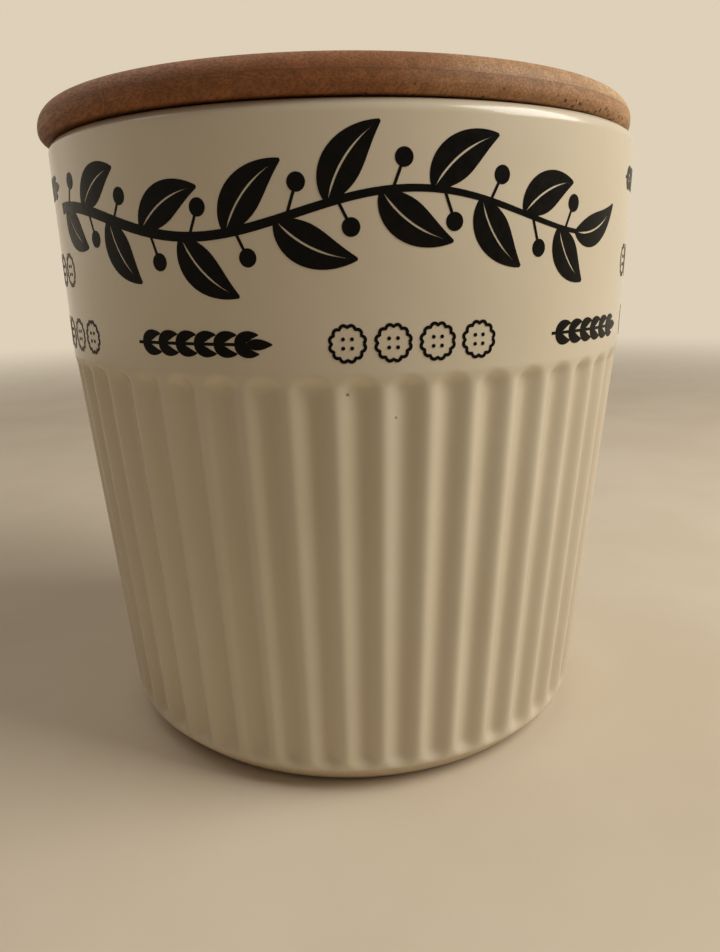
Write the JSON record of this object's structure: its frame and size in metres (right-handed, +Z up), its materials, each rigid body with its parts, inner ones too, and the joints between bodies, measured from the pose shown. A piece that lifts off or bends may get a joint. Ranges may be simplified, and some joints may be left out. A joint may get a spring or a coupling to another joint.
{
  "type": "biscuit jar",
  "caption": "Round glazed stoneware biscuit jar with a plain band over a fluted, tapering wall, and a rounded bamboo lid held in the mouth by a silicone seal.",
  "frame": {"origin": "middle of the foot ring, on the surface that the jar stands on", "axes": "+Z up along the jar's axis; the picture looks along +Y, with +X to its right"},
  "size_m": [0.1637, 0.1622, 0.1729],
  "materials": {
    "glaze": "glossy ivory glaze on stoneware",
    "print": "glossy black fired-on print",
    "bamboo": "sanded and oiled caramel bamboo",
    "silicone": "milky silicone"
  },
  "bodies": {
    "jar": {"jar_body": "glaze"},
    "seal": {"seal_ring": "silicone"},
    "lid": {"top_ply_strip_1": "bamboo", "top_ply_strip_2": "bamboo", "top_ply_strip_3": "bamboo", "top_ply_strip_4": "bamboo", "top_ply_strip_5": "bamboo", "top_ply_strip_6": "bamboo", "top_ply_strip_7": "bamboo", "top_ply_strip_8": "bamboo", "under_ply_strip_1": "bamboo", "under_ply_strip_2": "bamboo", "under_ply_strip_3": "bamboo", "under_ply_strip_4": "bamboo", "under_ply_strip_5": "bamboo", "under_ply_strip_6": "bamboo", "under_ply_strip_7": "bamboo", "under_ply_strip_8": "bamboo", "under_ply_strip_9": "bamboo", "plug_ply_strip_1": "bamboo", "plug_ply_strip_2": "bamboo", "plug_ply_strip_3": "bamboo", "plug_ply_strip_4": "bamboo", "plug_ply_strip_5": "bamboo", "plug_ply_strip_6": "bamboo", "plug_ply_strip_7": "bamboo", "plug_ply_strip_8": "bamboo", "plug_foot_strip_1": "bamboo", "plug_foot_strip_2": "bamboo", "plug_foot_strip_3": "bamboo", "plug_foot_strip_4": "bamboo", "plug_foot_strip_5": "bamboo", "plug_foot_strip_6": "bamboo", "plug_foot_strip_7": "bamboo"}
  },
  "joints": [
    {"name": "lid_lift", "type": "slide", "parent": "jar", "child": "seal", "axis": [0, 0, 1], "range_m": [0, 0.12]},
    {"name": "lid_turn", "type": "hinge", "parent": "seal", "child": "lid", "pos_m": [-0.0018, 0, 0.1603], "axis": [0, 0, 1], "continuous": true}
  ]
}
